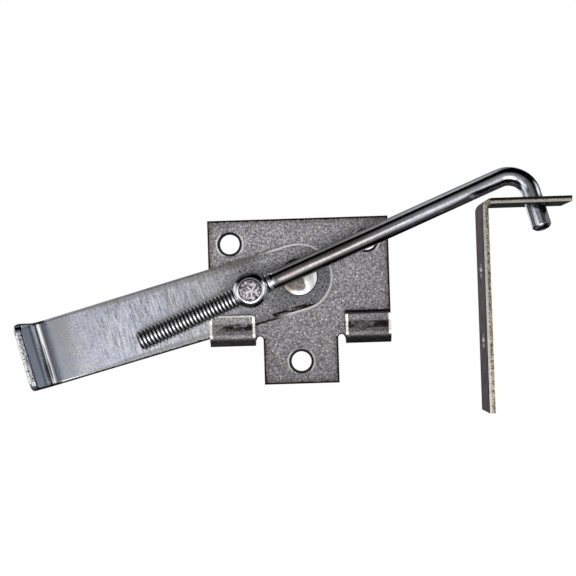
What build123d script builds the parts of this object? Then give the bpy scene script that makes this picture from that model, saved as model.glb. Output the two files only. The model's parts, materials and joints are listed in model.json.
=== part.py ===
from build123d import *
import math
import os

# Over-centre jamb latch: a stamped T plate, a hand lever on a rivet, a threaded hook rod in a swivel
# stud on the lever, and an L strike that the hook pulls on. All lengths are millimetres, all angles
# are degrees.
#
# Frame: the origin is on the pivot axis, in the plane of the surface that the plate is screwed to.
# +X is to the right and +Z is up, seen from the front, and the front is towards -Y. A height here is
# a distance in front of the mounting surface.

# T plate
plate_thickness = 2.4
plate_width = 67.8
plate_top = 22.2
edge_roll = 0.7
tongue_width = 28.0
tongue_bottom = -39.8

# Relief notches between the tongue and the tabs. A notch stops short of the bend line by its drop,
# and a thin web is left between it and the tab.
notch_width = 2.55
notch_web = 0.2
notch_drop = 0.9

# Curled tabs that catch the lever
tab_gap = 3.7
tab_clearance = 0.05
tab_lip = 7.1
tab_flare = 0.3
tab_flare_length = 3.0
tab_corner = 1.2
tab_inset = 0.4

# Plate screw holes
screw_hole = 7.4
top_screw_spacing = 51.2
top_screw_height = 13.2
tongue_screw_height = -31.4

# Hand lever
closed_angle = 195.1
lever_gap = 0.1
lever_thickness = 3.0
lever_pivot_width = 25.4
lever_handle_width = 24.6
lever_edge = 1.0
flange_reach = 98.9
flange_rise = 23.0
flange_lean = 1.0
flange_bend = 3.0
flange_corner = 3.2

# Pivot rivet
pivot_shank = 8.0
pivot_clearance = 0.05
pivot_head = 14.0
pivot_head_rim = 0.7
pivot_head_rise = 1.9
pivot_tail = 11.0

# Swivel stud
stud_offset = 18.3
stud_body = 12.7
stud_height = 14.2
stud_top_round = 2.5
stud_foot_chamfer = 0.4
stud_shank = 7.0
stud_clearance = 0.05
stud_tail = 9.6
stud_tail_recess = 0.05
head_gap = 0.1

# Hook rod
rod_rise = 7.4
rod_angle = 22.6
thread_major = 7.9
thread_clearance = 0.05
shank_diameter = 7.0
rod_tail = 44.8
thread_past_stud = 9.0
thread_runout = 1.2
hook_corner = 109.2
hook_radius = 8.2
hook_turn = 99.7
hook_leg = 24.3
hook_roll = 13.7
rod_end_chamfer = 1.0

# Strike
strike_width = 19.05
strike_thickness = 2.0
strike_hole_inset = 20.6
strike_ledge = 31.75
strike_drop = 76.2
strike_bend = 1.5
strike_hook_hole = 9.5
strike_hook_gap = 0.3
strike_below_hook = 12.0
strike_screw_hole = 5.6
strike_screw_first = 25.4
strike_screw_spacing = 25.4

# Heights that follow from the stack on the plate
lever_back = plate_thickness + lever_gap
lever_front = lever_back + lever_thickness
flange_height = lever_front + flange_rise
head_seat = lever_front + head_gap
stud_top = head_seat + stud_height
rod_height = head_seat + rod_rise

# The lever's edges taper from its round end to the flange
lever_reach = flange_reach + flange_bend + lever_thickness
lever_taper = math.asin((lever_pivot_width - lever_handle_width) / 2 / lever_reach)

# Working frames. Local z is the height in front of the mounting surface.
front = Plane.XZ


def direction(angle):
    """Unit vector at an angle in the plane of the plate, from +X towards +Z."""
    turn = math.radians(angle)
    return Vector(math.cos(turn), 0, math.sin(turn))


lever_frame = Plane(origin=(0, 0, 0), x_dir=direction(closed_angle), z_dir=(0, -1, 0))
stud_centre = direction(closed_angle) * stud_offset
stud_frame = Plane(origin=stud_centre, x_dir=direction(rod_angle), z_dir=(0, -1, 0))
rod_origin = stud_centre - Vector(0, rod_height, 0)
rod_frame = Plane(origin=rod_origin, x_dir=direction(rod_angle), z_dir=(0, 1, 0))


def turned(profile):
    """Solid of revolution about the local z axis of a profile of radius and height."""
    return revolve(Plane.XZ * profile, Axis.Z)


def hole(diameter, low, high):
    """Straight cutter on the local z axis between two heights."""
    return Pos(0, 0, (low + high) / 2) * Cylinder(diameter / 2, high - low)


def tab_bend_height():
    """Z at which the tabs start to curl, so that the closed lever's edge just clears the curl."""
    slope = math.radians(closed_angle - 180) - lever_taper
    edge = -(lever_pivot_width / 2 - lever_edge) / math.cos(slope)
    edge -= plate_width / 2 * math.tan(slope)
    inner = tab_gap / 2
    across = inner - lever_gap - lever_edge
    reach = inner - lever_edge - tab_clearance
    return edge + math.sqrt(max(reach**2 - across**2, 0))


tab_bend = tab_bend_height()
notch_spring = tab_bend - notch_drop - notch_width / 2
tab_start = tongue_width / 2 + notch_width + notch_web


def plate_outline():
    """Flat outline of the plate before its notches are cut: the head, the root and the tongue."""
    head_height = plate_top - tab_bend
    head = Pos(0, plate_top - head_height / 2) * Rectangle(plate_width, head_height)
    root_height = tab_bend - notch_spring
    root = Pos(0, tab_bend - root_height / 2) * Rectangle(2 * tab_start, root_height)
    tongue_height = tab_bend - tongue_bottom
    tongue = Pos(0, tab_bend - tongue_height / 2) * Rectangle(tongue_width, tongue_height)
    return head + root + tongue


def tab(side):
    """One tab, curled forward and up from the bottom edge of the plate."""
    inner = tab_gap / 2
    outer = inner + plate_thickness
    curl = Circle(outer) - Circle(inner)
    curl &= Pos(0, -outer) * Rectangle(2 * outer, 2 * outer)
    flare_start = tab_lip - tab_flare_length
    lip = make_face(
        Polyline(
            (inner, 0),
            (outer, 0),
            (outer, flare_start),
            (outer + tab_flare, tab_lip),
            (inner + tab_flare, tab_lip),
            (inner, flare_start),
            close=True,
        )
    )
    section = curl + lip
    width = plate_width / 2 - tab_inset - tab_start
    middle = side * (tab_start + width / 2)
    frame = Plane(origin=(middle, -outer, tab_bend), x_dir=(0, -1, 0), z_dir=(-1, 0, 0))
    strip = extrude(frame * section, width / 2, both=True)
    lip_corners = strip.edges().filter_by(Axis.Y, tolerance=8).group_by(Axis.Z)[-1]
    return fillet(lip_corners, tab_corner)


def free_edges(flat):
    """Front edges of the head and the tongue, apart from those beside the notches and tabs."""
    rim = flat.faces().sort_by(Axis.Y)[0].outer_wire().edges()
    middle = (tab_bend + notch_spring) / 2
    reach = (tab_bend - notch_spring) / 2 + edge_roll
    return rim.filter_by(lambda edge: abs(edge.center().Z - middle) > reach)


def base_plate():
    """Stamped plate with its screw holes, rivet hole and two curled tabs."""
    flat = front * extrude(plate_outline(), plate_thickness)
    plate = fillet(free_edges(flat), edge_roll)
    notch = (tongue_width + notch_width) / 2
    for side in (-1, 1):
        plate -= front * (Pos(side * notch, notch_spring) * hole(notch_width, 0, plate_thickness))
        plate += tab(side)
    places = [
        (-top_screw_spacing / 2, top_screw_height),
        (top_screw_spacing / 2, top_screw_height),
        (0, tongue_screw_height),
    ]
    for x, z in places:
        plate -= front * (Pos(x, z, 0) * hole(screw_hole, 0, plate_thickness))
    plate -= front * pivot_blank(plate_thickness)
    return plate


def pivot_blank(top):
    """Shank and countersunk tail of the pivot rivet, up to a height."""
    shank = pivot_shank / 2
    tail = pivot_tail / 2
    profile = make_face(
        Polyline((0, 0), (tail, 0), (shank, tail - shank), (shank, top), (0, top), close=True)
    )
    return turned(profile)


def pivot_rivet():
    """Rivet with a low domed head, upset flush in the back of the plate."""
    radius = pivot_head / 2
    rim = head_seat + pivot_head_rim
    crown = head_seat + pivot_head_rise
    edge = Polyline((0, head_seat), (radius, head_seat), (radius, rim))
    dome = RadiusArc((radius, rim), (0, crown), -dome_radius(radius, crown - rim))
    back = Line((0, crown), (0, head_seat))
    head = turned(make_face(edge + dome + back))
    return front * (pivot_blank(head_seat) + head)


def dome_radius(half_width, rise):
    """Radius of the sphere whose cap has a half width and a rise."""
    return (half_width**2 + rise**2) / (2 * rise)


def lever_side():
    """Side view of the lever: a bar with its finger flange bent towards the front."""
    lean = math.radians(flange_lean)
    foot = Vector(flange_reach, lever_front)
    up = Vector(math.sin(lean), math.cos(lean))
    out = Vector(math.cos(lean), -math.sin(lean))
    rise = (flange_height - lever_front) / math.cos(lean)
    inner_top = foot + up * rise
    outer_top = inner_top + out * lever_thickness
    outer_foot = outer_top - up * ((outer_top.Y - lever_back) / math.cos(lean))
    start = -lever_pivot_width
    side = make_face(
        Polyline(
            (start, lever_back),
            outer_foot,
            outer_top,
            inner_top,
            foot,
            (start, lever_front),
            close=True,
        )
    )
    inside = side.vertices().sort_by_distance((foot.X, foot.Y))[0]
    side = fillet(inside, flange_bend)
    outside = side.vertices().sort_by_distance((outer_foot.X, outer_foot.Y))[0]
    return fillet(outside, flange_bend + lever_thickness)


def lever_plan():
    """Plan view of the lever: a round end about the pivot and two straight, tapering edges."""
    radius = lever_pivot_width / 2
    half = lever_handle_width / 2
    x = radius * math.sin(lever_taper)
    y = radius * math.cos(lever_taper)
    bar = make_face(
        Polyline((x, y), (lever_reach, half), (lever_reach, -half), (x, -y), close=True)
    )
    return bar + Circle(radius)


def lever():
    """Hand lever with its rivet hole and the countersunk hole of the swivel stud."""
    side = extrude(Plane.XZ * lever_side(), lever_pivot_width, both=True)
    plan = extrude(lever_plan(), flange_height)
    body = side & plan
    flange_edges = body.edges().filter_by(Axis.X, tolerance=8)
    tips = flange_edges.group_by(Axis.Z)[-1]
    body = fillet(tips, flange_corner)
    flats = body.faces().filter_by(Axis.Z).sort_by(Axis.Z)[:2]
    rims = flats.edges().filter_by(lambda edge: edge.center().X < flange_reach - flange_bend)
    body = fillet(rims, lever_edge)
    body -= hole(pivot_shank + 2 * pivot_clearance, lever_back, lever_front)
    body -= Pos(stud_offset, 0, 0) * stud_foot(stud_clearance, lever_front)
    return lever_frame * body


def stud_foot(clearance, top):
    """Shank and countersunk tail of the swivel stud, grown by a clearance for its hole."""
    shank = stud_shank / 2 + clearance
    tail = stud_tail / 2 + clearance
    bottom = lever_back + (stud_tail_recess if clearance == 0 else 0)
    profile = make_face(
        Polyline(
            (0, bottom),
            (tail, bottom),
            (shank, bottom + tail - shank),
            (shank, top),
            (0, top),
            close=True,
        )
    )
    return turned(profile)


def swivel_stud():
    """Round stud that turns in the lever, with the cross bore that carries the rod."""
    radius = stud_body / 2
    profile = make_face(
        Polyline(
            (0, head_seat),
            (radius - stud_foot_chamfer, head_seat),
            (radius, head_seat + stud_foot_chamfer),
            (radius, stud_top),
            (0, stud_top),
            close=True,
        )
    )
    crown = profile.vertices().sort_by_distance((radius, stud_top))[0]
    body = turned(fillet(crown, stud_top_round)) + stud_foot(0, head_seat)
    bore = Rot(0, 90, 0) * Cylinder(thread_major / 2 + thread_clearance, 2 * stud_body)
    body -= Pos(0, 0, rod_height) * bore
    return stud_frame * body


def hook_direction():
    """Direction of the hook's leg in the rod's frame before the roll."""
    turn = math.radians(hook_turn)
    return Vector(math.cos(turn), math.sin(turn), 0)


def hook_rod():
    """Rod with a rolled-thread stretch through the stud and a bent hook at the far end."""
    thread = thread_major / 2
    shank = shank_diameter / 2
    thread_end = thread_past_stud
    profile = make_face(
        Polyline(
            (0, -rod_tail),
            (thread - rod_end_chamfer, -rod_tail),
            (thread, -rod_tail + rod_end_chamfer),
            (thread, thread_end - thread_runout),
            (shank, thread_end),
            (0, thread_end),
            close=True,
        )
    )
    threaded = Rot(0, 90, 0) * turned(profile)
    tangent = hook_radius * math.tan(math.radians(hook_turn) / 2)
    bend_start = hook_corner - tangent
    straight = extrude(Plane.YZ.offset(thread_end) * Circle(shank), bend_start - thread_end)
    bend_axis = Axis((bend_start, hook_radius, 0), (0, 0, 1))
    bend = revolve(Plane.YZ.offset(bend_start) * Circle(shank), bend_axis, hook_turn)
    leg_start = Vector(hook_corner, 0, 0) + hook_direction() * tangent
    leg_frame = Plane(origin=leg_start, x_dir=(0, 0, 1), z_dir=hook_direction())
    leg = extrude(Circle(shank), hook_leg - tangent)
    leg = chamfer(leg.edges().group_by(Axis.Z)[-1], rod_end_chamfer)
    bent = straight + bend + leg_frame * leg
    return rod_frame * (Rot(X=-hook_roll) * (threaded + bent))


def hook_point(along):
    """Point of the hook leg's axis at a distance from the hook's corner."""
    local = Vector(hook_corner, 0, 0) + hook_direction() * along
    return (rod_frame * (Rot(X=-hook_roll) * Pos(local.X, local.Y, local.Z))).position


strike_top = hook_point(0).Z - strike_below_hook


def hook_at(height):
    """Point of the hook leg's axis at a height Z."""
    corner = hook_point(0)
    end = hook_point(hook_leg)
    return corner + (end - corner) * ((corner.Z - height) / (corner.Z - end.Z))


def strike_hole_centre():
    """Centre of the hook's hole, whose pulling side lies close to the hook's leg."""
    leg = hook_at(strike_top - strike_thickness / 2)
    drift = hook_at(strike_top - strike_thickness) - hook_at(strike_top)
    slope = math.hypot(drift.X, drift.Y) / strike_thickness
    half_cut = shank_diameter / 2 * math.hypot(1, slope)
    shift = strike_hook_hole / 2 - half_cut - abs(drift.X) / 2 - strike_hook_gap
    return Vector(leg.X + shift, leg.Y, strike_top - strike_thickness / 2)


def strike_bracket():
    """Strike: an L strip with the hook's hole in its ledge and two screw holes in its drop leg."""
    ledge = Pos(strike_ledge / 2, -strike_thickness / 2) * Rectangle(strike_ledge, strike_thickness)
    drop = Pos(strike_thickness / 2, -strike_drop / 2) * Rectangle(strike_thickness, strike_drop)
    profile = ledge + drop
    inside = profile.vertices().sort_by_distance((strike_thickness, -strike_thickness))[0]
    profile = fillet(inside, strike_bend)
    outside = profile.vertices().sort_by_distance((0, 0))[0]
    profile = fillet(outside, strike_bend + strike_thickness)
    centre = strike_hole_centre()
    strike_left = centre.X - strike_hole_inset
    frame = Plane(origin=(strike_left, centre.Y, strike_top), x_dir=(1, 0, 0), z_dir=(0, -1, 0))
    strip = extrude(frame * profile, strike_width / 2, both=True)
    strip -= Pos(centre.X, centre.Y, centre.Z) * Cylinder(strike_hook_hole / 2, 2 * strike_thickness)
    for step in range(2):
        z = strike_top - strike_screw_first - step * strike_screw_spacing
        cutter = Rot(0, 90, 0) * Cylinder(strike_screw_hole / 2, 4 * strike_thickness)
        strip -= Pos(strike_left, centre.Y, z) * cutter
    return strip


pieces = {
    "base_plate": base_plate,
    "pivot_rivet": pivot_rivet,
    "lever": lever,
    "swivel_stud": swivel_stud,
    "hook_rod": hook_rod,
    "strike_bracket": strike_bracket,
}

os.makedirs("parts", exist_ok=True)
for name, make in pieces.items():
    export_step(make(), f"parts/{name}.step")
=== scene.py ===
import json
import math
import bmesh
import bpy
from mathutils import Matrix, Vector


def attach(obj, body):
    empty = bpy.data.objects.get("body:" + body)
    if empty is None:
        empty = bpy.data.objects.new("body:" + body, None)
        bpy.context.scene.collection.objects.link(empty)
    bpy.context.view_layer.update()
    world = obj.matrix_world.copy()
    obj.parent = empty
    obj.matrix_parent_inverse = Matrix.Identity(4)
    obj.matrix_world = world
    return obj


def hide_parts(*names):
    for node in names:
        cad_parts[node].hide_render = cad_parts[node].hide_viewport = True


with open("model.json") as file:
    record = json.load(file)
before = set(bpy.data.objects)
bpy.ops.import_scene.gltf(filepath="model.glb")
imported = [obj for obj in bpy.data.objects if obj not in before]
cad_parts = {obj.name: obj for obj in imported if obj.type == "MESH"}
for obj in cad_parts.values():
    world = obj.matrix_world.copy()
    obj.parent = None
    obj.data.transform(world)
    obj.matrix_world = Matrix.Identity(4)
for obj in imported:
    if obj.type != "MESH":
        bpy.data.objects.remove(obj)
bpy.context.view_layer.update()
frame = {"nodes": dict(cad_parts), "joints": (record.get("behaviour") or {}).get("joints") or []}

mm = 0.001
noiseMiddle = 0.5
scene = bpy.context.scene
scene.view_settings.view_transform = "Standard"
joints = {joint["name"]: joint for joint in frame["joints"]}


# Node helpers

def startMaterial(name):
    material = bpy.data.materials.new(name)
    material.use_nodes = True
    tree = material.node_tree
    tree.nodes.clear()
    output = tree.nodes.new("ShaderNodeOutputMaterial")
    shader = tree.nodes.new("ShaderNodeBsdfPrincipled")
    shader.inputs["Metallic"].default_value = 1
    tree.links.new(shader.outputs["BSDF"], output.inputs["Surface"])
    return material, tree, shader


def plug(tree, source, target):
    # the source is a socket or a plain value
    if isinstance(source, bpy.types.NodeSocket):
        tree.links.new(source, target)
    else:
        target.default_value = source


def calc(tree, operation, first, second=0.0, third=0.0, clamp=False):
    node = tree.nodes.new("ShaderNodeMath")
    node.operation = operation
    node.use_clamp = clamp
    for socket, value in zip(node.inputs, (first, second, third)):
        plug(tree, value, socket)
    return node.outputs[0]


def spread(tree, value, low, high, newLow=0.0, newHigh=1.0, how="SMOOTHSTEP"):
    node = tree.nodes.new("ShaderNodeMapRange")
    node.interpolation_type = how
    for socket, number in zip(node.inputs, (value, low, high, newLow, newHigh)):
        plug(tree, number, socket)
    return node.outputs[0]


def band(tree, value, middle, half, soft):
    # 1 within half of the middle, fading to 0 over soft
    away = calc(tree, "ABSOLUTE", calc(tree, "SUBTRACT", value, middle))
    return spread(tree, away, half + soft, half)


def both(tree, *masks):
    result = masks[0]
    for mask in masks[1:]:
        result = calc(tree, "MULTIPLY", result, mask)
    return result


def either(tree, *masks):
    result = masks[0]
    for mask in masks[1:]:
        result = calc(tree, "MAXIMUM", result, mask)
    return result


def invert(tree, mask):
    return calc(tree, "SUBTRACT", 1.0, mask)


def between(tree, value, start, end):
    # 1 between two fades, the one at the start and the one at the end
    return both(tree, spread(tree, value, *start), spread(tree, value, *end))


def weigh(tree, *parts):
    # parts are pairs of a value and its weight
    total = calc(tree, "MULTIPLY", *parts[0])
    for value, weight in parts[1:]:
        total = calc(tree, "MULTIPLY_ADD", value, weight, total)
    return total


def mixColour(tree, amount, first, second, how="MIX"):
    node = tree.nodes.new("ShaderNodeMix")
    node.data_type = "RGBA"
    node.blend_type = how
    plug(tree, amount, node.inputs[0])
    plug(tree, first, node.inputs[6])
    plug(tree, second, node.inputs[7])
    return node.outputs[2]


def paint(tree, colour, mask, over, amount):
    # covers a colour with another where the mask is, at most by amount
    return mixColour(tree, calc(tree, "MULTIPLY", mask, amount), colour, over)


def scaleColour(tree, colour, amount):
    node = tree.nodes.new("ShaderNodeVectorMath")
    node.operation = "SCALE"
    tree.links.new(colour, node.inputs[0])
    plug(tree, amount, node.inputs["Scale"])
    return node.outputs[0]


def tone(red, green, blue):
    # screen colour, 0 to 255, as the shader takes it
    def linear(part):
        part = part / 255
        return part / 12.92 if part <= 0.04045 else ((part + 0.055) / 1.055) ** 2.4

    return (linear(red), linear(green), linear(blue), 1)


def ramp(tree, value, *stops):
    # stops are pairs of a position and a colour
    node = tree.nodes.new("ShaderNodeValToRGB")
    colours = node.color_ramp.elements
    while len(colours) < len(stops):
        colours.new(0.5)
    for element, (place, colour) in zip(colours, stops):
        element.position = place
        element.color = colour
    plug(tree, value, node.inputs[0])
    return node.outputs[0]


def millimetres(tree, spin=0.0, origin=(0, 0, 0), stretch=(1, 1, 1)):
    # object coordinates in millimetres, turned about Y and stretched
    coords = tree.nodes.new("ShaderNodeTexCoord")
    shift = tree.nodes.new("ShaderNodeVectorMath")
    shift.operation = "SUBTRACT"
    shift.inputs[1].default_value = origin
    turn = tree.nodes.new("ShaderNodeVectorRotate")
    turn.rotation_type = "Y_AXIS"
    turn.inputs["Angle"].default_value = spin
    size = tree.nodes.new("ShaderNodeVectorMath")
    size.operation = "MULTIPLY"
    size.inputs[1].default_value = [part / mm for part in stretch]
    tree.links.new(coords.outputs["Object"], shift.inputs[0])
    tree.links.new(shift.outputs[0], turn.inputs["Vector"])
    tree.links.new(turn.outputs[0], size.inputs[0])
    return size.outputs[0]


def noise(tree, coords, scale, detail, rough=0.55):
    node = tree.nodes.new("ShaderNodeTexNoise")
    node.inputs["Scale"].default_value = scale
    node.inputs["Detail"].default_value = detail
    node.inputs["Roughness"].default_value = rough
    tree.links.new(coords, node.inputs["Vector"])
    return node.outputs["Fac"]


def ragged(tree, distance, grain, amount):
    # moves a distance by up to half of amount either way, so that what it bounds looks torn
    return calc(tree, "ADD", distance, weigh(tree, (grain, amount), (1.0, -amount * noiseMiddle)))


def tinted(tree, coords, colour, scale, tints):
    # warm and cool clouds over a colour
    hue = noise(tree, coords, scale, 2)
    for tint, fade in tints:
        colour = mixColour(tree, spread(tree, hue, *fade), colour, tint, "MULTIPLY")
    return colour


def flecks(tree, coords, scale, size, part, core=0.4):
    # scattered soft dots: size is their radius in cells, part is how many of the cells have one,
    # core is how much of the radius is full
    node = tree.nodes.new("ShaderNodeTexVoronoi")
    node.inputs["Scale"].default_value = scale
    tree.links.new(coords, node.inputs["Vector"])
    pick = tree.nodes.new("ShaderNodeSeparateColor")
    tree.links.new(node.outputs["Color"], pick.inputs[0])
    chosen = calc(tree, "LESS_THAN", pick.outputs[0], part)
    return calc(tree, "MULTIPLY", spread(tree, node.outputs["Distance"], size, size * core), chosen)


def split(tree, vector):
    node = tree.nodes.new("ShaderNodeSeparateXYZ")
    tree.links.new(vector, node.inputs[0])
    return node.outputs[0], node.outputs[1], node.outputs[2]


def length(tree, first, second):
    return calc(tree, "SQRT", weigh(tree, (first, first), (second, second)))


def bump(tree, shader, height, strength, depth):
    node = tree.nodes.new("ShaderNodeBump")
    node.inputs["Strength"].default_value = strength
    node.inputs["Distance"].default_value = depth * mm
    plug(tree, height, node.inputs["Height"])
    tree.links.new(node.outputs[0], shader.inputs["Normal"])


def grey(value):
    return (value, value, value, 1)


def dress(name, material):
    mesh = frame["nodes"][name].data
    mesh.materials.clear()
    mesh.materials.append(material)


# The dictionaries below give noises as scale, detail and roughness. Fades are the two places between
# which a mask goes from 0 to 1, or from the third number to the fourth. Bands are a middle, a half
# width and a soft edge. Paints are a colour and how much of it covers what lies below.

# T plate: mottled galvanised steel, dark at its sheared edges

plateLook = {
    "grain": (1.35, 2, 0.75),
    "fine": (3.0, 2, 0.6),
    "blotch": (0.16, 3),
    "mottle": (0.55, 0.35, 0.1),
    "zinc": ((0.4, tone(96, 94, 97)), (0.5, tone(146, 144, 147)), (0.6, tone(206, 205, 210))),
    "hueScale": 0.9,
    "tints": (
        (tone(255, 238, 218), (0.52, 0.62, 0.0, 0.5)),
        (tone(228, 228, 255), (0.48, 0.38, 0.0, 0.5)),
    ),
    "dots": (0.75, 0.3, 0.36),
    "dotPaint": (tone(255, 255, 252), 0.8),
    "rim": tone(24, 21, 20),
    "rimAmount": 0.95,
    "paleHighlight": tone(240, 238, 232),
    # outline of the head and tongue
    "half": 33.9,
    "top": 22.2,
    "tongueHalf": 14.0,
    "tongueBottom": -39.8,
    "shoulder": (-22.0, -22.6),
    "flatDepth": (-4.3, -2.6),
    "tear": 1.2,
    "border": (2.6, 1.2),
    "borderPaint": (tone(104, 94, 86), 0.5),
    "rimWidth": (0.95, 0.55),
    # screw holes, with painted highlights as pale crescents beside them, and relief notches
    "holes": ((-25.6, 13.2), (25.6, 13.2), (0.0, -31.4)),
    "holeRadius": 3.7,
    "holeRim": (1.0, 0.75),
    "crescent": (1.25, 0.1, 0.3),
    "crescentSides": (2.6, 4.2),
    "crescentAmount": 0.8,
    "notch": (15.275, -23.01),
    "notchRim": (1.875, 1.575),
    # painted shading: lighter towards the top, a little darker at the right
    "lightUp": (-39.8, 8.0, 0.62, 1.42),
    "darkRight": (17.0, 30.0, 1.0, 0.9),
    # painted shadow: a dark line on the plate just above the top of each tab
    "tabShadowDepth": (-1.7, -2.1),
    "tabShadowHeight": (-13.34, 0.35, 0.4),
    "tabShadowSides": ((16.35, 16.75), (33.9, 33.5)),
    # curled tabs
    "tabStart": 16.75,
    "tabEnd": 33.5,
    "tabTop": -13.74,
    "lipDepth": (-6.3, -6.6),
    "lipPaint": (tone(150, 146, 144), 0.3),
    "lipShade": (-5.3, -6.3, 1.0, 0.6),
    "rightTab": (0.0, 1.0),
    "rightShade": -0.25,
    # painted dark reflections halfway up the tabs
    "reflectionStreaks": (1.0, 3, 0.7),
    "reflectionStreakStretch": (0.3, 1, 1),
    "patch": (0.3, 2),
    "darkReflectionWeights": (0.6, 0.4),
    "darkReflectionHeight": (-18.2, 0.7, 1.1),
    "darkReflectionNoise": (0.42, 0.5),
    "darkReflectionStart": (-30.0, -27.5),
    # painted shade on the tabs' undersides, with a painted gleam along them
    "underside": (-22.1, -22.8),
    "undersideAmount": 0.5,
    "undersideGleam": (-24.2, 0.2, 0.3),
    "gleamAmount": 0.45,
    # painted highlights on the rolled sides of the tabs
    "sideWidth": (1.05, 0.75),
    "sideBottom": (-22.3, -21.3),
    "sideTop": (0.2, 0.7),
    # painted highlight along the top of the left tab, painted shade along the top of the right one
    "brow": (0.75, 0.45),
    "browLeft": 0.3,
    "browMoreRight": 0.6,
    # roughness and relief
    "rough": (0.35, 0.65, 0.34, 0.46),
    "lipSmooth": 0.1,
    "undersideRough": 0.25,
    "fineRelief": 0.5,
    "relief": (0.45, 0.14),
}


def makePlateMaterial(look):
    material, tree, shader = startMaterial("galvanisedPlate")
    coords = millimetres(tree)
    x, y, z = split(tree, coords)
    grain = noise(tree, coords, *look["grain"])
    fine = noise(tree, coords, *look["fine"])
    blotch = noise(tree, coords, *look["blotch"])
    mottle = weigh(tree, *zip((grain, fine, blotch), look["mottle"]))
    colour = tinted(tree, coords, ramp(tree, mottle, *look["zinc"]), look["hueScale"], look["tints"])
    colour = paint(tree, colour, flecks(tree, coords, *look["dots"]), *look["dotPaint"])

    # distance in from the outline of the head and of the tongue
    away = calc(tree, "ABSOLUTE", x)
    headSide = calc(tree, "SUBTRACT", look["half"], away)
    tongueSide = calc(tree, "SUBTRACT", look["tongueHalf"], away)
    low = spread(tree, z, *look["shoulder"])
    inward = weigh(tree, (headSide, invert(tree, low)), (tongueSide, low))
    inward = calc(tree, "MINIMUM", inward, calc(tree, "SUBTRACT", look["top"], z))
    inward = calc(tree, "MINIMUM", inward, calc(tree, "SUBTRACT", z, look["tongueBottom"]))
    torn = ragged(tree, inward, grain, look["tear"])
    flat = spread(tree, y, *look["flatDepth"])
    border = both(tree, spread(tree, torn, *look["border"]), flat)
    rim = both(tree, spread(tree, torn, *look["rimWidth"]), flat)
    for holeX, holeZ in look["holes"]:
        across = calc(tree, "SUBTRACT", x, holeX)
        up = calc(tree, "SUBTRACT", z, holeZ)
        reach = calc(tree, "SUBTRACT", length(tree, across, up), look["holeRadius"])
        # painted highlights: pale crescents on the left and right of each hole
        sides = spread(tree, calc(tree, "ABSOLUTE", across), *look["crescentSides"])
        crescent = both(tree, band(tree, reach, *look["crescent"]), sides)
        colour = paint(tree, colour, crescent, look["paleHighlight"], look["crescentAmount"])
        rim = either(tree, rim, spread(tree, reach, *look["holeRim"]))
    notchX, notchZ = look["notch"]
    reach = length(tree, calc(tree, "SUBTRACT", away, notchX), calc(tree, "SUBTRACT", z, notchZ))
    rim = either(tree, rim, both(tree, spread(tree, reach, *look["notchRim"]), flat))
    colour = paint(tree, colour, border, *look["borderPaint"])
    # painted shading: the plate lighter towards the top and a little darker at the right
    colour = scaleColour(tree, colour, spread(tree, z, *look["lightUp"], "LINEAR"))
    colour = scaleColour(tree, colour, spread(tree, x, *look["darkRight"]))
    # painted shadow: a dark line on the plate just above each tab
    tabShadow = both(tree, flat, spread(tree, y, *look["tabShadowDepth"]), band(tree, z, *look["tabShadowHeight"]),
               between(tree, away, *look["tabShadowSides"]))
    colour = paint(tree, colour, either(tree, rim, tabShadow), look["rim"], look["rimAmount"])

    # the tabs: duller, with painted highlights on their pale rolled sides, painted dark reflections halfway
    # up and painted shade on the underside, the left one with a painted highlight along its top and the
    # right one with painted shade along its top
    onLip = spread(tree, y, *look["lipDepth"])
    rightTab = spread(tree, x, *look["rightTab"])
    colour = paint(tree, colour, onLip, *look["lipPaint"])
    colour = scaleColour(tree, colour, spread(tree, y, *look["lipShade"]))
    rightLip = both(tree, onLip, rightTab)
    colour = scaleColour(tree, colour, calc(tree, "MULTIPLY_ADD", rightLip, look["rightShade"], 1.0))
    # painted dark reflections, streaky, halfway up the tabs
    reflectionStreaks = noise(tree, millimetres(tree, stretch=look["reflectionStreakStretch"]), *look["reflectionStreaks"])
    patch = noise(tree, coords, *look["patch"])
    streaky = weigh(tree, *zip((reflectionStreaks, patch), look["darkReflectionWeights"]))
    darkReflection = both(tree, onLip, band(tree, z, *look["darkReflectionHeight"]),
                spread(tree, streaky, *look["darkReflectionNoise"]), spread(tree, x, *look["darkReflectionStart"]))
    colour = paint(tree, colour, darkReflection, look["rim"], look["rimAmount"])
    # painted shade on the underside of each tab, with a lighter painted gleam along it
    under = both(tree, onLip, spread(tree, z, *look["underside"]))
    gleam = calc(tree, "MULTIPLY", band(tree, z, *look["undersideGleam"]), look["gleamAmount"])
    dark = both(tree, under, calc(tree, "SUBTRACT", look["undersideAmount"], gleam))
    colour = mixColour(tree, dark, colour, look["rim"])
    # painted highlights on the rolled sides of the tabs
    ends = calc(tree, "MINIMUM", calc(tree, "SUBTRACT", away, look["tabStart"]),
                calc(tree, "SUBTRACT", look["tabEnd"], away))
    above = calc(tree, "SUBTRACT", look["tabTop"], z)
    paleSides = both(tree, onLip, spread(tree, ends, *look["sideWidth"]),
                     spread(tree, z, *look["sideBottom"]), spread(tree, above, *look["sideTop"]))
    colour = mixColour(tree, paleSides, colour, look["paleHighlight"])
    # painted highlight along the top of the left tab, painted shade along the top of the right one
    browAmount = calc(tree, "MULTIPLY_ADD", rightTab, look["browMoreRight"], look["browLeft"])
    brow = both(tree, onLip, spread(tree, above, *look["brow"]), browAmount)
    colour = mixColour(tree, brow, colour, mixColour(tree, rightTab, look["paleHighlight"], look["rim"]))
    tree.links.new(colour, shader.inputs["Base Color"])
    smooth = calc(tree, "MULTIPLY", onLip, look["lipSmooth"])
    rough = calc(tree, "SUBTRACT", spread(tree, blotch, *look["rough"]), smooth)
    rough = calc(tree, "MULTIPLY_ADD", under, look["undersideRough"], rough)
    tree.links.new(rough, shader.inputs["Roughness"])
    bump(tree, shader, weigh(tree, (grain, 1.0), (fine, look["fineRelief"])), *look["relief"])
    return material


dress("base_plate", makePlateMaterial(plateLook))
print("plate done")

# Lever: bright bar, brushed across, with painted shading that makes it duller towards the pivot

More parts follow.
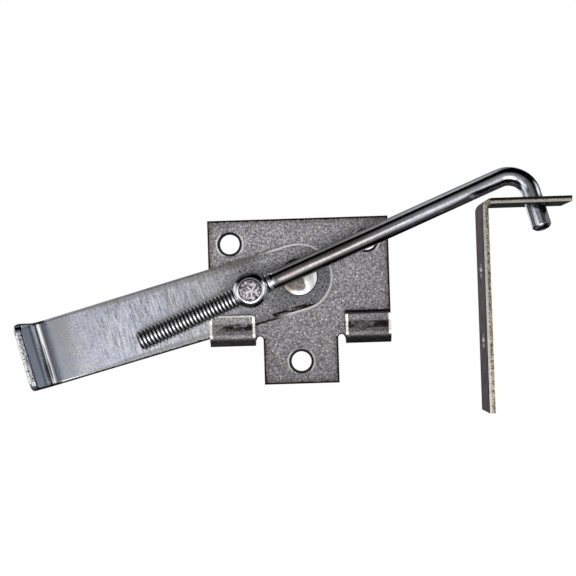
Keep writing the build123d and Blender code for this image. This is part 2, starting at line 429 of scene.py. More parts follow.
leverLook = {
    "angle": math.radians(195.1),
    "half": 12.45,
    "streaks": (2.1, 3, 0.75),
    "streakStretch": (1, 1, 0.1),
    "grain": (1.3, 3, 0.7),
    "shadingNoise": (0.12, 3),
    "shadingShift": 12.0,
    "barLength": 110.0,
    "bar": (
        (0.08, tone(136, 135, 137)),
        (0.3, tone(202, 201, 206)),
        (0.55, tone(212, 215, 226)),
        (0.76, tone(212, 215, 226)),
        (0.82, tone(214, 218, 222)),
        (0.87, tone(214, 218, 222)),
        (0.9, tone(212, 224, 250)),
    ),
    "hueScale": 2.3,
    "tints": (
        (tone(255, 240, 206), (0.52, 0.62, 0.0, 0.45)),
        (tone(214, 224, 255), (0.5, 0.4, 0.0, 0.55)),
    ),
    "rim": tone(36, 30, 26),
    "paintedHighlight": tone(255, 255, 255),
    # brushed along the handle, scuffed round the pivot, smooth beside the bend
    "brushed": ((10.0, 34.0), (94.0, 66.0)),
    "brushedAmount": 1.1,
    "scuffed": (36.0, 16.0),
    "scuffedMore": 1.5,
    "scuffedLeast": 0.5,
    "smoothBend": (84.0, 94.0, 2.6, 0.6),
    # painted light: a lightened patch on the lever above the pivot
    "paintedLightAlong": (26.0, 6.0),
    "paintedLightAcross": (0.0, -5.0),
    "paintedLightAmount": 0.8,
    # bright dots and scratches round the pivot
    "dots": (0.8, 0.3, 0.34),
    "scratches": (0.55, 0.15, 0.36),
    "scratchTurn": 0.7,
    "scratchStretch": (0.16, 1, 1),
    "scratchAlong": (40.0, 18.0, 0.0, 0.95),
    "scratch": tone(240, 240, 240),
    # darker bands along both edges
    "tear": 1.8,
    "borderWidth": (96.0, 60.0, 0.7, 2.3),
    "borderFade": (0.6, -0.4),
    "borderAlong": ((8.0, 20.0), (96.0, 92.0)),
    "borderPaint": (tone(150, 146, 140), 0.55),
    "rimWidth": (0.8, 0.4),
    "rimSide": (6.0, 8.0),
    "rimAlong": (97.0, 94.0),
    "rimAmount": 0.9,
    # painted shade on the lower edge and a painted highlight on the rim of the round end
    "lowerEdgeShadeAcross": (11.0, 0.6, 0.3),
    "lowerEdgeShadeAlong": (4.5, 8.5, 1.0),
    "lowerEdgeShade": (1.4, 2),
    "lowerEdgeShadeStretch": (0.3, 1, 1),
    "lowerEdgeShadeNoise": (0.42, 0.48),
    "endRimHighlight": (11.7, 11.95),
    "endRimHighlightAlong": (14.0, 6.0),
    "endRimHighlightNoise": (0.34, 0.42),
    # flange: painted reflection stripes as parts of its depth, a painted shade and a painted glint along the
    # bend, a painted highlight line
    "flange": ((98.3, 98.8), (100.6, 100.2)),
    "stripeDepth": 30,
    "stripes": (
        (0.225, grey(1.0)),
        (0.25, grey(0.1)),
        (0.335, grey(0.1)),
        (0.375, grey(1.0)),
        (0.58, grey(1.0)),
        (0.64, grey(0.85)),
        (0.92, grey(0.75)),
    ),
    "bendDepth": (-5.0, -5.4),
    "shade": (96.9, 0.9, 0.7),
    "shadeGrey": grey(0.42),
    "glint": (98.2, 0.35, 0.3),
    "flangeHighlight": (-13.0, 0.8, 0.7),
    "cornerWidth": (1.15, 0.75),
    "cornerAlong": (95.0, 96.5),
    "insideLine": (99.7, 0.15, 0.15),
    "insideDepth": (-27.7, -28.0),
    "cornerAmount": 0.92,
    "freeDepth": (-28.0, -28.3),
    "chips": ((0.4, tone(36, 30, 26)), (0.46, tone(212, 215, 226)), (0.54, grey(1.0))),
    # roughness, the less metallic edges and relief
    "rough": (-0.25, 0.25, 0.24, 0.36),
    "borderRough": 0.15,
    "bendSmooth": (84.0, 92.0, 1.0, 0.32),
    "softWidth": (1.0, 0.4),
    "softSide": (-4.0, -6.0),
    "softAlong": (98.0, 96.5),
    "softRough": 0.65,
    "highlightRough": 0.3,
    "paleAlong": (50.0, 90.0, 0.3, 0.95),
    "paleEnd": 0.75,
    "scuffedRough": (36.0, 18.0, 0.0, 0.2),
    "grainRelief": 0.6,
    "flatBend": (88.0, 94.0, 1.0, 0.0),
    "relief": (0.3, 0.06),
}


def makeLeverMaterial(look):
    material, tree, shader = startMaterial("leverSteel")
    spin = look["angle"]
    coords = millimetres(tree, spin)
    along, depth, across = split(tree, coords)
    streaks = noise(tree, millimetres(tree, spin, stretch=look["streakStretch"]), *look["streaks"])
    grain = noise(tree, coords, *look["grain"])
    # painted shading: the bar's colour runs from dull at the pivot to bright at the bend, along a ragged
    # line
    shadingNoise = noise(tree, coords, *look["shadingNoise"])
    place = calc(tree, "DIVIDE", ragged(tree, along, shadingNoise, look["shadingShift"]), look["barLength"])
    colour = tinted(tree, coords, ramp(tree, place, *look["bar"]), look["hueScale"], look["tints"])
    brushed = between(tree, along, *look["brushed"])
    brushing = calc(tree, "MULTIPLY", brushed, look["brushedAmount"])
    scuffing = calc(tree, "MULTIPLY_ADD", spread(tree, along, *look["scuffed"]),
                    look["scuffedMore"], look["scuffedLeast"])
    texture = weigh(tree, (calc(tree, "SUBTRACT", streaks, noiseMiddle), brushing),
                    (calc(tree, "SUBTRACT", grain, noiseMiddle), scuffing))
    smoothBend = spread(tree, along, *look["smoothBend"])
    colour = scaleColour(tree, colour, calc(tree, "MULTIPLY_ADD", texture, smoothBend, 1.0))
    # painted light: the lever above the pivot is lightened against the shade the rod throws in its
    # reflection
    paintedLight = both(tree, spread(tree, along, *look["paintedLightAlong"]), spread(tree, across, *look["paintedLightAcross"]))
    colour = scaleColour(tree, colour, calc(tree, "MULTIPLY_ADD", paintedLight, look["paintedLightAmount"], 1.0))
    dots = flecks(tree, coords, *look["dots"])
    lines = millimetres(tree, spin + look["scratchTurn"], stretch=look["scratchStretch"])
    scratched = either(tree, dots, flecks(tree, lines, *look["scratches"]))
    scratched = both(tree, scratched, spread(tree, along, *look["scratchAlong"]))
    colour = mixColour(tree, scratched, colour, look["scratch"])

    # darker bands along both edges, wider in the middle of the bar
    edge = calc(tree, "SUBTRACT", look["half"], calc(tree, "ABSOLUTE", across))
    torn = ragged(tree, edge, grain, look["tear"])
    width = spread(tree, along, *look["borderWidth"])
    border = both(tree, spread(tree, calc(tree, "SUBTRACT", torn, width), *look["borderFade"]),
                  between(tree, along, *look["borderAlong"]))
    colour = paint(tree, colour, border, *look["borderPaint"])
    rim = both(tree, spread(tree, torn, *look["rimWidth"]), spread(tree, across, *look["rimSide"]),
               spread(tree, along, *look["rimAlong"]))
    colour = paint(tree, colour, rim, look["rim"], look["rimAmount"])

    # painted shade as a black line on the lower side, and a painted highlight on the rim of the round end
    lowerEdgeShadeGrain = noise(tree, millimetres(tree, spin, stretch=look["lowerEdgeShadeStretch"]), *look["lowerEdgeShade"])
    lowerEdgeShade = both(tree, band(tree, across, *look["lowerEdgeShadeAcross"]), band(tree, along, *look["lowerEdgeShadeAlong"]),
                spread(tree, lowerEdgeShadeGrain, *look["lowerEdgeShadeNoise"]))
    colour = mixColour(tree, lowerEdgeShade, colour, look["rim"])
    # painted highlight on the rim of the round end, which is also rougher and less metallic
    outward = length(tree, calc(tree, "MINIMUM", along, 0.0), across)
    endRimHighlight = both(tree, spread(tree, outward, *look["endRimHighlight"]), spread(tree, along, *look["endRimHighlightAlong"]),
                  spread(tree, grain, *look["endRimHighlightNoise"]))
    colour = mixColour(tree, endRimHighlight, colour, look["paintedHighlight"])

    # the flange: painted reflection stripes, shade and highlights beside the bend, black corners, pale and
    # dark chips on its free edge
    onFlange = between(tree, along, *look["flange"])
    stripes = ramp(tree, calc(tree, "MULTIPLY", depth, -1 / look["stripeDepth"]), *look["stripes"])
    colour = mixColour(tree, onFlange, colour, stripes, "MULTIPLY")
    onBend = spread(tree, depth, *look["bendDepth"])
    shade = both(tree, band(tree, along, *look["shade"]), onBend)
    colour = mixColour(tree, shade, colour, look["shadeGrey"], "MULTIPLY")
    # painted highlights: a line across the flange and a glint along the bend
    flangeHighlight = both(tree, onFlange, band(tree, depth, *look["flangeHighlight"]))
    glint = both(tree, band(tree, along, *look["glint"]), onBend)
    colour = mixColour(tree, either(tree, flangeHighlight, glint), colour, look["paintedHighlight"])
    chips = ramp(tree, grain, *look["chips"])
    colour = mixColour(tree, spread(tree, depth, *look["freeDepth"]), colour, chips)
    corner = both(tree, spread(tree, edge, *look["cornerWidth"]), spread(tree, along, *look["cornerAlong"]))
    inside = both(tree, band(tree, along, *look["insideLine"]), spread(tree, depth, *look["insideDepth"]))
    colour = paint(tree, colour, either(tree, corner, inside), look["rim"], look["cornerAmount"])
    tree.links.new(colour, shader.inputs["Base Color"])

    # the upper edge and the round end's rim are rougher and less metallic
    softEdge = both(tree, spread(tree, edge, *look["softWidth"]), spread(tree, across, *look["softSide"]),
                    spread(tree, along, *look["softAlong"]))
    rough = calc(tree, "MULTIPLY_ADD", border, look["borderRough"], spread(tree, texture, *look["rough"]))
    rough = calc(tree, "MULTIPLY", rough, spread(tree, along, *look["bendSmooth"]))
    rough = calc(tree, "MULTIPLY_ADD", either(tree, softEdge, corner), look["softRough"], rough)
    rough = calc(tree, "MULTIPLY_ADD", either(tree, endRimHighlight, flangeHighlight), look["highlightRough"], rough)
    rough = calc(tree, "ADD", rough, spread(tree, along, *look["scuffedRough"]))
    tree.links.new(rough, shader.inputs["Roughness"])
    paleEdge = both(tree, softEdge, spread(tree, along, *look["paleAlong"]))
    paleEdge = either(tree, paleEdge, calc(tree, "MULTIPLY", endRimHighlight, look["paleEnd"]))
    tree.links.new(invert(tree, paleEdge), shader.inputs["Metallic"])
    uneven = weigh(tree, (streaks, brushed), (grain, look["grainRelief"]))
    uneven = calc(tree, "MULTIPLY", uneven, spread(tree, along, *look["flatBend"]))
    bump(tree, shader, uneven, *look["relief"])
    return material


dress("lever", makeLeverMaterial(leverLook))
print("lever done")

# Pivot rivet and swivel stud

rivetLook = {
    "grain": (1.2, 4, 0.6),
    "zinc": ((0.35, 0.65), tone(70, 66, 64), tone(116, 111, 107)),
    # painted highlight: a bright ring on the dome, which widens to the right and down
    "ringRadius": 5.75,
    "ringWider": -3.6,
    "ringSideways": (0.3, 0.98),
    "ringTear": 1.6,
    "ringFade": (-1.0, 0.3),
    "ringTop": (4.5, 1.5),
    "headDepth": (-4.5, -5.0),
    "lit": (0.75, -0.45, 3.0),
    "litFade": (0.0, 5.5),
    "ring": tone(255, 255, 255),
    "ringDull": tone(196, 184, 166),
    # painted shadow: a dark line round the head
    "line": tone(34, 30, 28),
    "lineRadius": (6.55, 6.75),
    "rough": (0.3, 0.7, 0.16, 0.3),
    "relief": (0.15, 0.06),
}
studLook = {
    "centre": (-17.668, -4.767),
    "grain": (1.0, 4, 0.7),
    "side": tone(246, 246, 250),
    "line": tone(40, 38, 42),
    # rough upset top with a bright star
    "top": ((0.4, tone(34, 28, 34)), (0.5, tone(172, 158, 170)), (0.6, tone(255, 252, 250))),
    "topRadius": (4.0, 3.65),
    "topDepth": (-19.5, -19.7),
    "topLine": (3.95, 0.12, 0.15),
    "star": tone(255, 252, 250),
    "starCentre": (0.5, -0.4),
    "starRays": 5.0,
    "starWaver": 3.0,
    "starRay": (0.8, 0.4),
    "starReach": (2.7, 1.9),
    "starAmount": 0.95,
    # painted shade: dark bands on the flank, above and below
    "flankRadius": (4.6, 4.8),
    "flankSteep": (0.5, 0.85),
    "flankAmount": 0.9,
    "rough": (0.25, 0.14),
    "sideRelief": 0.06,
    "relief": (0.6, 0.25),
}


def share(tree, part, radius, least=0.1):
    # the part as a share of the radius, which counts as least near the centre
    return calc(tree, "DIVIDE", part, calc(tree, "MAXIMUM", radius, least))


def makeRivetMaterial(look):
    material, tree, shader = startMaterial("rivetZinc")
    coords = millimetres(tree)
    x, y, z = split(tree, coords)
    grain = noise(tree, coords, *look["grain"])
    greys, dark, light = look["zinc"]
    colour = mixColour(tree, spread(tree, grain, *greys), dark, light)
    # painted highlight ring on the dome, duller beige towards the lower left and white towards the right
    radius = length(tree, x, z)
    wider = spread(tree, share(tree, x, radius), *look["ringSideways"])
    inner = calc(tree, "MULTIPLY_ADD", wider, look["ringWider"], look["ringRadius"])
    reach = calc(tree, "SUBTRACT", radius, ragged(tree, inner, grain, look["ringTear"]))
    ring = both(tree, spread(tree, reach, *look["ringFade"]), spread(tree, z, *look["ringTop"]),
                spread(tree, y, *look["headDepth"]))
    lit = spread(tree, weigh(tree, *zip((x, z, grain), look["lit"])), *look["litFade"])
    colour = mixColour(tree, ring, colour, mixColour(tree, lit, look["ringDull"], look["ring"]))
    # painted shadow: a dark line round the head
    colour = mixColour(tree, spread(tree, radius, *look["lineRadius"]), colour, look["line"])
    tree.links.new(colour, shader.inputs["Base Color"])
    tree.links.new(spread(tree, grain, *look["rough"]), shader.inputs["Roughness"])
    bump(tree, shader, grain, *look["relief"])
    return material


def makeStudMaterial(look):
    material, tree, shader = startMaterial("studSteel")
    coords = millimetres(tree)
    x, y, z = split(tree, coords)
    centreX, centreZ = look["centre"]
    right = calc(tree, "SUBTRACT", x, centreX)
    up = calc(tree, "SUBTRACT", z, centreZ)
    radius = length(tree, right, up)
    onTop = both(tree, spread(tree, radius, *look["topRadius"]), spread(tree, y, *look["topDepth"]))
    grain = noise(tree, coords, *look["grain"])
    top = ramp(tree, grain, *look["top"])

    # the star: rays that waver with the grain
    starX, starZ = look["starCentre"]
    starRight = calc(tree, "SUBTRACT", right, starX)
    starUp = calc(tree, "SUBTRACT", up, starZ)
    reach = length(tree, starRight, starUp)
    waver = calc(tree, "MULTIPLY", grain, look["starWaver"])
    turned = calc(tree, "MULTIPLY_ADD", calc(tree, "ARCTAN2", starUp, starRight), look["starRays"], waver)
    ray = calc(tree, "MULTIPLY", invert(tree, calc(tree, "COSINE", turned)), reach)
    star = both(tree, spread(tree, ray, *look["starRay"]), spread(tree, reach, *look["starReach"]))
    top = paint(tree, top, star, look["star"], look["starAmount"])
    # painted shade on the flank above and below
    steep = spread(tree, share(tree, calc(tree, "ABSOLUTE", up), radius), *look["flankSteep"])
    shaded = both(tree, spread(tree, radius, *look["flankRadius"]), steep, look["flankAmount"])
    colour = mixColour(tree, onTop, mixColour(tree, shaded, look["side"], look["line"]), top)
    colour = mixColour(tree, band(tree, radius, *look["topLine"]), colour, look["line"])
    tree.links.new(colour, shader.inputs["Base Color"])
    tree.links.new(calc(tree, "MULTIPLY_ADD", onTop, *look["rough"]), shader.inputs["Roughness"])
    relief = calc(tree, "ADD", look["sideRelief"], onTop)
    bump(tree, shader, calc(tree, "MULTIPLY", grain, relief), *look["relief"])
    return material


dress("pivot_rivet", makeRivetMaterial(rivetLook))
dress("swivel_stud", makeStudMaterial(studLook))
print("rivet and stud done")

# Hook rod: rolled thread, plain shank and bent hook, in millimetres along the rod from the stud

rodShape = {
    "pitch": 1.4111,
    "major": 3.95,
    "minor": 3.12,
    "shank": 3.5,
    "tail": -44.8,
    "threadEnd": 9.0,
    "collar": 1.2,
    "corner": 109.2,
    "bendRadius": 8.2,
    "bendAngle": math.radians(99.7),
    "leg": 24.3,
    "roll": math.radians(13.7),
    "angle": math.radians(22.6),
    "chamfer": 1.0,
    "crest": 0.34,
    "root": 0.1,
    "collarFade": 0.3,
    # how far from the end of the hook, and how much wider than the shank
    "tip": ((-1.2, 0.0), (-1.0, -0.05), (-0.5, -0.5), (-0.1, -1.0), (0.0, -1.2), (0.0, -2.1)),
    "sides": 64,
    "stepsPerTurn": 14,
    "shankRings": 24,
    "bendRings": 36,
    "weld": 0.004,
    "sharp": math.radians(50),
}


def threadRadius(shape, x, phase):
    # 60 degree thread with a flat crest, fading into a collar at the shank and chamfered at the tail
    crest, root, fade = shape["crest"], shape["root"], shape["collarFade"]
    rise = abs((phase % 1.0) - 0.5) * 2
    rise = min(max((rise - root) / (1 - crest - root), 0.0), 1.0)
    full = shape["minor"] + (shape["major"] - shape["minor"]) * rise
    left = shape["threadEnd"] - x
    collar = shape["shank"] + (shape["major"] - shape["shank"]) * min(max(left / shape["collar"], 0.0), 1.0)
    full += (collar - full) * min(max((shape["collar"] + fade - left) / (2 * fade), 0.0), 1.0)
    return min(full, shape["major"] - shape["chamfer"] + (x - shape["tail"]))


def buildThread(bm, shape):
    # rows of vertices follow the helix and are cut off square at both ends
    sides, steps = shape["sides"], shape["stepsPerTurn"]
    low, high = shape["tail"], shape["threadEnd"]
    rows = int((high - low) / shape["pitch"] * steps) + steps + 2
    below = None
    for row in range(-1, rows):
        ring = []
        for side in range(sides + 1):
            turn = side / sides
            x = low + shape["pitch"] * (row / steps - 1 + turn)
            x = min(max(x, low), high)
            radius = threadRadius(shape, x, row / steps)
            angle = 2 * math.pi * turn
            ring.append(bm.verts.new((x, radius * math.cos(angle), radius * math.sin(angle))))
        if below:
            for side in range(sides):
                bm.faces.new((below[side], below[side + 1], ring[side + 1], ring[side]))
        below = ring


def buildHook(bm, shape):
    sides, radius = shape["sides"], shape["shank"]
    bend, turn = shape["bendRadius"], shape["bendAngle"]
    bendStart = shape["corner"] - bend * math.tan(turn / 2)
    stations = []  # centre, lean and radius of each ring
    for step in range(shape["shankRings"] + 1):
        x = shape["threadEnd"] + (bendStart - shape["threadEnd"]) * step / shape["shankRings"]
        stations.append((Vector((x, 0, 0)), 0.0, radius))
    for step in range(1, shape["bendRings"] + 1):
        lean = turn * step / shape["bendRings"]
        centre = Vector((bendStart + bend * math.sin(lean), bend * (1 - math.cos(lean)), 0))
        stations.append((centre, lean, radius))
    corner = Vector((shape["corner"], 0, 0))
    down = Vector((math.cos(turn), math.sin(turn), 0))
    for past, wider in shape["tip"]:
        stations.append((corner + down * (shape["leg"] + past), turn, radius + wider))
    below = None
    for centre, lean, size in stations:
        sideways = Vector((-math.sin(lean), math.cos(lean), 0))
        ring = []
        for side in range(sides):
            angle = 2 * math.pi * side / sides
            spot = centre + size * (math.cos(angle) * sideways + math.sin(angle) * Vector((0, 0, 1)))
            ring.append(bm.verts.new(spot))
        if below:
            for side in range(sides):
                after = (side + 1) % sides
                bm.faces.new((below[side], below[after], ring[after], ring[side]))
        below = ring
    bm.faces.new(below)


def rodPlacement(shape):
    # from the rod's own millimetres to the part's metres
    along = Vector(joints["rod_turn"]["axis"]).normalized()
    away = Vector((0, 1, 0))
    axes = Matrix((along, away.cross(along), away)).transposed()
    axes = axes @ Matrix.Rotation(-shape["roll"], 3, "X")
    return Matrix.Translation(joints["rod_turn"]["pos_m"]) @ axes.to_4x4() @ Matrix.Scale(mm, 4)


def makeRod(shape):
    bm = bmesh.new()
    buildThread(bm, shape)
    buildHook(bm, shape)
    bmesh.ops.remove_doubles(bm, verts=bm.verts, dist=shape["weld"])
    bmesh.ops.holes_fill(bm, edges=[edge for edge in bm.edges if edge.is_boundary], sides=0)
    bmesh.ops.recalc_face_normals(bm, faces=bm.faces)
    bm.transform(rodPlacement(shape))
    mesh = bpy.data.meshes.new("threadedHookRod")
    bm.to_mesh(mesh)
    bm.free()
    mesh.shade_smooth()
    mesh.set_sharp_from_angle(angle=shape["sharp"])
    rod = bpy.data.objects.new("threadedHookRod", mesh)
    scene.collection.objects.link(rod)
    return rod


rodLook = {
    "drawn": (1.6, 3, 0.6),
    "drawnStretch": (0.05, 1, 1),
    "grain": (0.8, 4, 0.6),
    "weights": (0.6, 0.4),
    "shades": (0.4, 0.56),
    "colour": tone(172, 168, 168),
    "dark": tone(138, 131, 130),
    "hook": tone(246, 249, 255),
    "hookDark": tone(206, 210, 222),
    "toHook": (35.0, 80.0),
    # thread: pale flanks, painted shade in the dark grooves and painted highlights on the bright crests, by
    # radius, and a painted highlight on the collar at its end
    "threadFade": (7.9, 7.5),
    "crest": tone(255, 255, 255),
    "crestRadius": (3.8, 3.9),
    "flankAmount": 0.6,
    "groove": tone(118, 118, 128),
    "grooveRadius": (3.7, 3.3),
    "collar": (8.5, 0.9, 0.3),
    "collarNoise": (0.36, 0.44),
    # painted shade: dark outer half of the hook's end
    "hookEndShade": tone(60, 60, 66),
    "hookEndShadeAmount": 0.85,
    "hookEndShadeWidth": (1.3, 1.0, 0.7),
    "hookEndShadeDown": (10.5, 12.5),
    "hookLean": 0.168,
    "threadRough": 0.13,
    "rough": (0.3, 0.7, 0.07, 0.17),
    "relief": (0.12, 0.05),
}


def makeRodMaterial(look, shape):
    material, tree, shader = startMaterial("rodZinc")
    spin = shape["angle"]
    along, depth, across = split(tree, millimetres(tree, spin, joints["rod_turn"]["pos_m"]))
    isThread = spread(tree, along, *look["threadFade"])
    radius = length(tree, depth, across)
    drawn = noise(tree, millimetres(tree, spin, stretch=look["drawnStretch"]), *look["drawn"])
    grain = noise(tree, millimetres(tree), *look["grain"])
    uneven = weigh(tree, *zip((drawn, grain), look["weights"]))
    toHook = spread(tree, along, *look["toHook"])
    dark = mixColour(tree, toHook, look["dark"], look["hookDark"])
    light = mixColour(tree, toHook, look["colour"], look["hook"])
    colour = mixColour(tree, spread(tree, uneven, *look["shades"]), dark, light)
    # painted highlight on the collar at the end of the thread
    collar = both(tree, band(tree, along, *look["collar"]), spread(tree, grain, *look["collarNoise"]))
    colour = mixColour(tree, collar, colour, look["crest"])

    # the hook's end leans out of the rod's own direction, so its middle line is followed down
    down = calc(tree, "ABSOLUTE", across)
    past = calc(tree, "SUBTRACT", along, shape["corner"])
    outward = calc(tree, "MULTIPLY_ADD", down, look["hookLean"], past)
    # painted shade on the outer half of the hook's end
    hookEndShaded = both(tree, band(tree, outward, *look["hookEndShadeWidth"]), spread(tree, down, *look["hookEndShadeDown"]))
    colour = paint(tree, colour, hookEndShaded, look["hookEndShade"], look["hookEndShadeAmount"])
    # a paler thread, with painted shade in its grooves and painted highlights on its crests
    colour = paint(tree, colour, isThread, look["crest"], look["flankAmount"])
    groove = both(tree, isThread, spread(tree, radius, *look["grooveRadius"]))
    colour = mixColour(tree, groove, colour, look["groove"])
    crest = both(tree, isThread, spread(tree, radius, *look["crestRadius"]))
    colour = mixColour(tree, crest, colour, look["crest"])
    tree.links.new(colour, shader.inputs["Base Color"])
    rough = calc(tree, "MULTIPLY_ADD", isThread, look["threadRough"], spread(tree, grain, *look["rough"]))
    tree.links.new(rough, shader.inputs["Roughness"])
    bump(tree, shader, uneven, *look["relief"])
    return material


rod = makeRod(rodShape)
rod.data.materials.append(makeRodMaterial(rodLook, rodShape))
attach(rod, "rod")
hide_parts("hook_rod")
print("rod done", len(rod.data.polygons), "faces")

# Strike: dull faces, bright sheared edges

strikeLook = {
    "grain": (1.7, 4, 0.7),
    "patches": (0.25, 3),
    "left": 65.995,
    "front": -25.72,
    "back": -6.68,
    "top": 25.2,
    "thick": 2.0,
    "frontEdge": (-25.47, -25.67),
    "backEdge": (-6.93, -6.73),
    # dull face, darker beside its edges
    "face": ((0.35, 0.65), tone(132, 125, 128), tone(168, 160, 166)),
    "besideTear": 3.0,
    "beside": (3.0, 1.5, 0.0, 0.7),
    "rim": tone(30, 26, 24),
    # sheared edges with a burnished part and, on the ledge, a dark part
    "edge": ((0.4, tone(44, 38, 34)), (0.5, tone(154, 142, 124)), (0.6, tone(232, 224, 190))),
    "bright": tone(250, 248, 250),
    "ledge": (2.4, 2.8),
    "edgeTear": 0.8,
    "burnished": (1.0, 0.6),
    "burnishedAmount": 0.6,
    "darkPart": (1.0, 1.2),
    "darkAmount": 0.97,
    # scuffs at the lower end of the face
    "scuffHeight": (-40.0, 4.5, 6.0),
    "scuffFace": (66.995, 66.495),
    "scuffs": (0.7, 0.2, 0.4),
    "scuffStretch": (1, 0.7, 0.35),
    # painted shade on the underside of the ledge, which is also dull
    "underDepth": (1.85, 1.97),
    "underStart": (2.6, 3.6),
    "underAmount": 0.95,
    # painted highlights on the walls of the screw holes
    "screwDepth": -16.2,
    "screwRows": (-0.2, -25.6),
    "screwRadius": (2.9, 2.83),
    "glance": tone(176, 170, 172),
    "edgeRough": 0.1,
    "underRough": 0.6,
    "faceRough": 0.26,
    "faceRelief": 0.3,
    "relief": (0.4, 0.12),
}


def makeStrikeMaterial(look):
    material, tree, shader = startMaterial("strikeZinc")
    coords = millimetres(tree)
    x, y, z = split(tree, coords)
    grain = noise(tree, coords, *look["grain"])
    patches = noise(tree, coords, *look["patches"])
    sheared = either(tree, spread(tree, y, *look["frontEdge"]), spread(tree, y, *look["backEdge"]))
    greys, dark, light = look["face"]
    face = mixColour(tree, spread(tree, patches, *greys), dark, light)
    beside = calc(tree, "MINIMUM", calc(tree, "SUBTRACT", y, look["front"]),
                  calc(tree, "SUBTRACT", look["back"], y))
    beside = ragged(tree, beside, grain, look["besideTear"])
    face = mixColour(tree, spread(tree, beside, *look["beside"]), face, look["rim"])

    # the sheared edges, measured in from the left on the long leg and up from below on the ledge
    inward = calc(tree, "SUBTRACT", x, look["left"])
    below = calc(tree, "SUBTRACT", look["top"], z)
    onLedge = spread(tree, inward, *look["ledge"])
    fromSide = mixColour(tree, onLedge, inward, calc(tree, "SUBTRACT", look["thick"], below))
    fromSide = ragged(tree, fromSide, grain, look["edgeTear"])
    edge = ramp(tree, grain, *look["edge"])
    burnished = spread(tree, fromSide, *look["burnished"])
    edge = paint(tree, edge, burnished, look["bright"], look["burnishedAmount"])
    darkPart = both(tree, onLedge, spread(tree, fromSide, *look["darkPart"]))
    edge = paint(tree, edge, darkPart, look["rim"], look["darkAmount"])

    # scuffs, painted shade on the ledge's underside and painted highlights in the screw holes
    scuffed = both(tree, band(tree, z, *look["scuffHeight"]), spread(tree, x, *look["scuffFace"]),
                   flecks(tree, millimetres(tree, stretch=look["scuffStretch"]), *look["scuffs"]))
    face = mixColour(tree, scuffed, face, look["rim"])
    # painted shade on the underside of the ledge
    underside = both(tree, spread(tree, below, *look["underDepth"]),
                     spread(tree, inward, *look["underStart"]), look["underAmount"])
    face = mixColour(tree, underside, face, look["rim"])
    # painted highlights on the screw hole walls
    for screwZ in look["screwRows"]:
        sideways = calc(tree, "SUBTRACT", y, look["screwDepth"])
        reach = length(tree, sideways, calc(tree, "SUBTRACT", z, screwZ))
        face = mixColour(tree, spread(tree, reach, *look["screwRadius"]), face, look["bright"])
    tree.links.new(mixColour(tree, sheared, face, edge), shader.inputs["Base Color"])
    dull = both(tree, underside, invert(tree, sheared))
    tree.links.new(invert(tree, dull), shader.inputs["Metallic"])
    rough = weigh(tree, (sheared, look["edgeRough"]), (dull, look["underRough"]), (1.0, look["faceRough"]))
    tree.links.new(rough, shader.inputs["Roughness"])
    shader.inputs["Specular Tint"].default_value = look["glance"]
    relief = calc(tree, "ADD", look["faceRelief"], sheared)
    bump(tree, shader, calc(tree, "MULTIPLY", grain, relief), *look["relief"])
    return material


dress("strike_bracket", makeStrikeMaterial(strikeLook))
print("strike done")

# Camera and studio

cameraLook = {
    "place": (2.255, -440.754, -15.42),
    "aim": (-4.26, 0.0, -3.812),
    "roll": math.radians(-1.778),
    "lens": 73.196,
    "sensor": 36,
    "nearest": 0.01,
}
studio = {
    "floor": -0.4,
    "floorSize": 3,
    "floorGrey": grey(0.8),
    "floorGlow": 0.75,
    "tent": 1.2,
    "tentSides": (48, 32),
    "tentGap": 0.01,
    "fill": grey(0.6),
    # direction, full and faded angle in degrees, brightness
    "windows": (
        ((0.0, -0.92, -0.39), 8, 44, 1.0),
        ((0.0, -0.95, -0.3), 0, 64, 0.55),
        ((0.0, -0.99, 0.1), 0, 22, 0.42),
        ((-0.62, -0.74, -0.1), 10, 26, 1.0),
        ((0.72, -0.68, 0.03), 12, 26, 1.0),
        ((-0.97, -0.1, -0.12), 14, 42, 0.8),
        ((0.95, -0.12, 0.3), 15, 26, 1.0),
        ((0.98, 0.15, 0.0), 10, 40, 0.5),
        ((-0.34, 0.1, 0.93), 6, 22, 0.25),
        ((-0.3, 0.2, -0.93), 6, 28, 0.25),
        ((0.1, 0.95, 0.25), 16, 44, 0.3),
        ((0.38, 0.92, 0.0), 6, 18, 0.9),
        ((-0.48, 0.88, 0.0), 8, 22, 0.9),
        ((0.0, -0.55, -0.83), 6, 34, 0.2),
    ),
    # name, place, size and power
    "lamps": (
        ("frontBox", (0.0, -0.68, -0.27), 0.4, 0.62),
        ("topBox", (-0.3, 0.25, 0.8), 0.8, 0.5),
        ("leftBox", (-0.85, 0.3, 0.2), 0.4, 0.4),
        ("backBox", (0.3, 0.75, 0.5), 0.5, 0.5),
    ),
}


def makeCamera(settings):
    camera = bpy.data.objects.new("camera", bpy.data.cameras.new("camera"))
    scene.collection.objects.link(camera)
    camera.data.lens = settings["lens"]
    camera.data.sensor_width = settings["sensor"]
    camera.data.clip_start = settings["nearest"]
    place = Vector(settings["place"]) * mm
    aim = Vector(settings["aim"]) * mm
    camera.rotation_mode = "QUATERNION"
    look = (aim - place).to_track_quat("-Z", "Y")
    camera.rotation_quaternion = look @ Matrix.Rotation(settings["roll"], 4, "Z").to_quaternion()
    camera.location = place
    scene.camera = camera


def makeLamp(name, place, size, power):
    lamp = bpy.data.lights.new(name, "AREA")
    lamp.shape = "SQUARE"
    lamp.size = size
    lamp.energy = power
    holder = bpy.data.objects.new(name, lamp)
    scene.collection.objects.link(holder)
    holder.location = place
    holder.rotation_euler = (-Vector(place)).to_track_quat("-Z", "Y").to_euler()


def background(tree):
    # 1 for the rays that see the white background
    path = tree.nodes.new("ShaderNodeLightPath")
    seen = calc(tree, "ADD", path.outputs["Is Camera Ray"], path.outputs["Is Transmission Ray"])
    return calc(tree, "ADD", seen, path.outputs["Is Glossy Ray"], clamp=True)


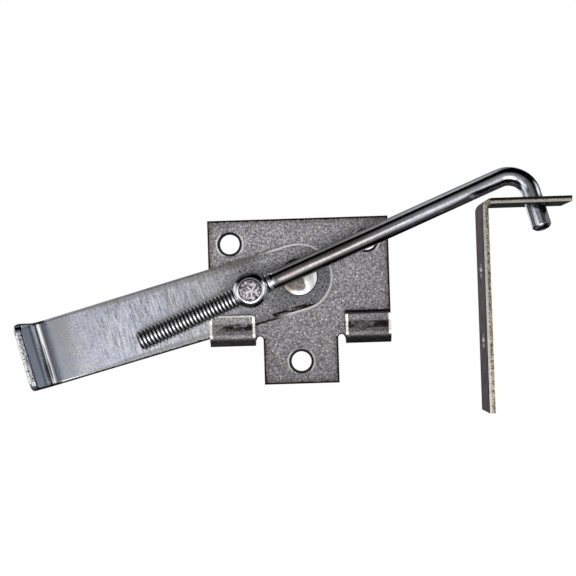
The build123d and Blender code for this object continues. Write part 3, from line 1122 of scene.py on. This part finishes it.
def stageMesh(name, bm):
    mesh = bpy.data.meshes.new(name)
    bm.to_mesh(mesh)
    bm.free()
    thing = bpy.data.objects.new(name, mesh)
    scene.collection.objects.link(thing)
    material = bpy.data.materials.new(name)
    material.use_nodes = True
    material.node_tree.nodes.clear()
    mesh.materials.append(material)
    return thing, material.node_tree, material.node_tree.nodes.new("ShaderNodeOutputMaterial")


def makeFloor(settings):
    bm = bmesh.new()
    bmesh.ops.create_grid(bm, x_segments=1, y_segments=1, size=settings["floorSize"])
    floor, tree, output = stageMesh("paleFloor", bm)
    floor.location.z = settings["floor"]
    diffuse = tree.nodes.new("ShaderNodeBsdfDiffuse")
    diffuse.inputs["Color"].default_value = settings["floorGrey"]
    glow = tree.nodes.new("ShaderNodeEmission")
    strength = calc(tree, "MULTIPLY", background(tree), settings["floorGlow"])
    tree.links.new(strength, glow.inputs["Strength"])
    total = tree.nodes.new("ShaderNodeAddShader")
    tree.links.new(diffuse.outputs[0], total.inputs[0])
    tree.links.new(glow.outputs[0], total.inputs[1])
    tree.links.new(total.outputs[0], output.inputs["Surface"])


def makeTent(settings):
    # black cloth round the studio that only reflections see, with soft windows to the white background
    around, up = settings["tentSides"]
    bm = bmesh.new()
    bmesh.ops.create_uvsphere(bm, u_segments=around, v_segments=up, radius=settings["tent"])
    for vert in bm.verts:
        vert.co.z = max(vert.co.z, settings["floor"] + settings["tentGap"])
    tent, tree, output = stageMesh("reflectionTent", bm)
    tent.visible_camera = False
    tent.visible_diffuse = False
    tent.visible_shadow = False
    tent.visible_transmission = False
    coords = tree.nodes.new("ShaderNodeTexCoord")
    unit = tree.nodes.new("ShaderNodeVectorMath")
    unit.operation = "NORMALIZE"
    tree.links.new(coords.outputs["Object"], unit.inputs[0])
    opening = 0.0
    for direction, full, faded, strength in settings["windows"]:
        facing = tree.nodes.new("ShaderNodeVectorMath")
        facing.operation = "DOT_PRODUCT"
        facing.inputs[1].default_value = Vector(direction).normalized()
        tree.links.new(unit.outputs[0], facing.inputs[0])
        turned = calc(tree, "ARCCOSINE", facing.outputs["Value"])
        window = spread(tree, turned, math.radians(faded), math.radians(full), 0.0, strength, "LINEAR")
        opening = calc(tree, "MAXIMUM", opening, window)
    cloth = tree.nodes.new("ShaderNodeBsdfDiffuse")
    cloth.inputs["Color"].default_value = grey(0.0)
    clear = tree.nodes.new("ShaderNodeBsdfTransparent")
    mix = tree.nodes.new("ShaderNodeMixShader")
    tree.links.new(opening, mix.inputs[0])
    tree.links.new(cloth.outputs[0], mix.inputs[1])
    tree.links.new(clear.outputs[0], mix.inputs[2])
    tree.links.new(mix.outputs[0], output.inputs["Surface"])


def makeWorld(settings):
    world = bpy.data.worlds.new("studio")
    scene.world = world
    world.use_nodes = True
    tree = world.node_tree
    tree.nodes.clear()
    output = tree.nodes.new("ShaderNodeOutputWorld")
    sky = tree.nodes.new("ShaderNodeBackground")
    colour = mixColour(tree, background(tree), settings["fill"], grey(1.0))
    tree.links.new(colour, sky.inputs["Color"])
    tree.links.new(sky.outputs[0], output.inputs["Surface"])


makeCamera(cameraLook)
makeWorld(studio)
makeFloor(studio)
makeTent(studio)
for name, place, size, power in studio["lamps"]:
    makeLamp(name, place, size, power)
print("studio done")
